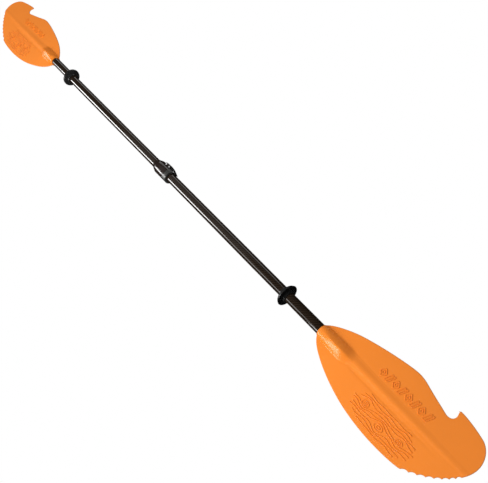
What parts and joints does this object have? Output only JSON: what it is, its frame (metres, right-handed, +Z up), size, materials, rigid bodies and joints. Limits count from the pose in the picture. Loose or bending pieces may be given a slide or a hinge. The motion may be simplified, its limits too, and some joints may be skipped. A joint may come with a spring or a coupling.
{
  "type": "kayak paddle",
  "caption": "Take-apart kayak fishing paddle with moulded hook-and-tooth blades, carbon tubes, a lever-lock ferrule and sliding drip rings.",
  "frame": {"origin": "on the surface that the paddle lies on, straight under the middle of the shaft", "axes": "+X along the shaft from the ferrule's lever half to the other half, +Y to the side of the hooks, +Z up, the way the blades' working faces look"},
  "size_m": [2.4, 0.1837, 0.062],
  "materials": {
    "blade_plastic": "orange moulded nylon, satin",
    "carbon_tube": "clear-coated carbon cloth, brown-black",
    "foam_plug": "closed-cell foam",
    "liner_plastic": "grey low-friction nylon",
    "ferrule_plastic": "black glass-filled nylon",
    "cap_plastic": "black-grey glass-filled nylon",
    "lever_plastic": "black nylon",
    "pin_steel": "polished stainless",
    "pad_brass": "machined brass",
    "ferrule_metal": "hard-anodised tube",
    "ring_rubber": "black rubber"
  },
  "bodies": {
    "left_half": {"left_blade": "blade_plastic", "left_shaft": "carbon_tube", "left_blade_plug": "foam_plug", "left_shaft_plug": "foam_plug", "ferrule_liner": "liner_plastic", "ferrule_collar": "ferrule_plastic", "ferrule_cap": "cap_plastic", "wiper_seal": "ring_rubber", "lever_pin": "pin_steel", "catch_pin": "pin_steel"},
    "lever": {"lock_lever": "lever_plastic"},
    "pad": {"pressure_pad": "pad_brass", "pad_facing": "ring_rubber"},
    "left_ring": {"left_drip_ring": "ring_rubber"},
    "bush": {"guide_bush": "liner_plastic"},
    "right_half": {"male_ferrule": "ferrule_metal", "ferrule_end_plug": "liner_plastic", "right_shaft": "carbon_tube", "right_shaft_plug": "foam_plug", "right_blade_plug": "foam_plug", "right_blade": "blade_plastic"},
    "right_ring": {"right_drip_ring": "ring_rubber"}
  },
  "joints": [
    {"name": "lever_swing", "type": "hinge", "parent": "left_half", "child": "lever", "pos_m": [0.0167, 0.02, 0.031], "axis": [0, 0, 1], "range_deg": [0, 100]},
    {"name": "pad_press", "type": "slide", "parent": "left_half", "child": "pad", "axis": [0, 1, 0], "range_m": [0, 0.0008]},
    {"name": "left_ring_slide", "type": "slide", "parent": "left_half", "child": "left_ring", "axis": [-1, 0, 0], "range_m": [-0.1, 0.11]},
    {"name": "length_slide", "type": "slide", "parent": "left_half", "child": "bush", "axis": [1, 0, 0], "range_m": [0, 0.1]},
    {"name": "feather_twist", "type": "hinge", "parent": "bush", "child": "right_half", "pos_m": [0, 0, 0.031], "axis": [1, 0, 0], "continuous": true},
    {"name": "right_ring_slide", "type": "slide", "parent": "right_half", "child": "right_ring", "axis": [1, 0, 0], "range_m": [-0.1, 0.11]}
  ],
  "couplings": [
    {"joint": "pad_press", "follows": "lever_swing", "m_per_rad": 0.000458}
  ]
}
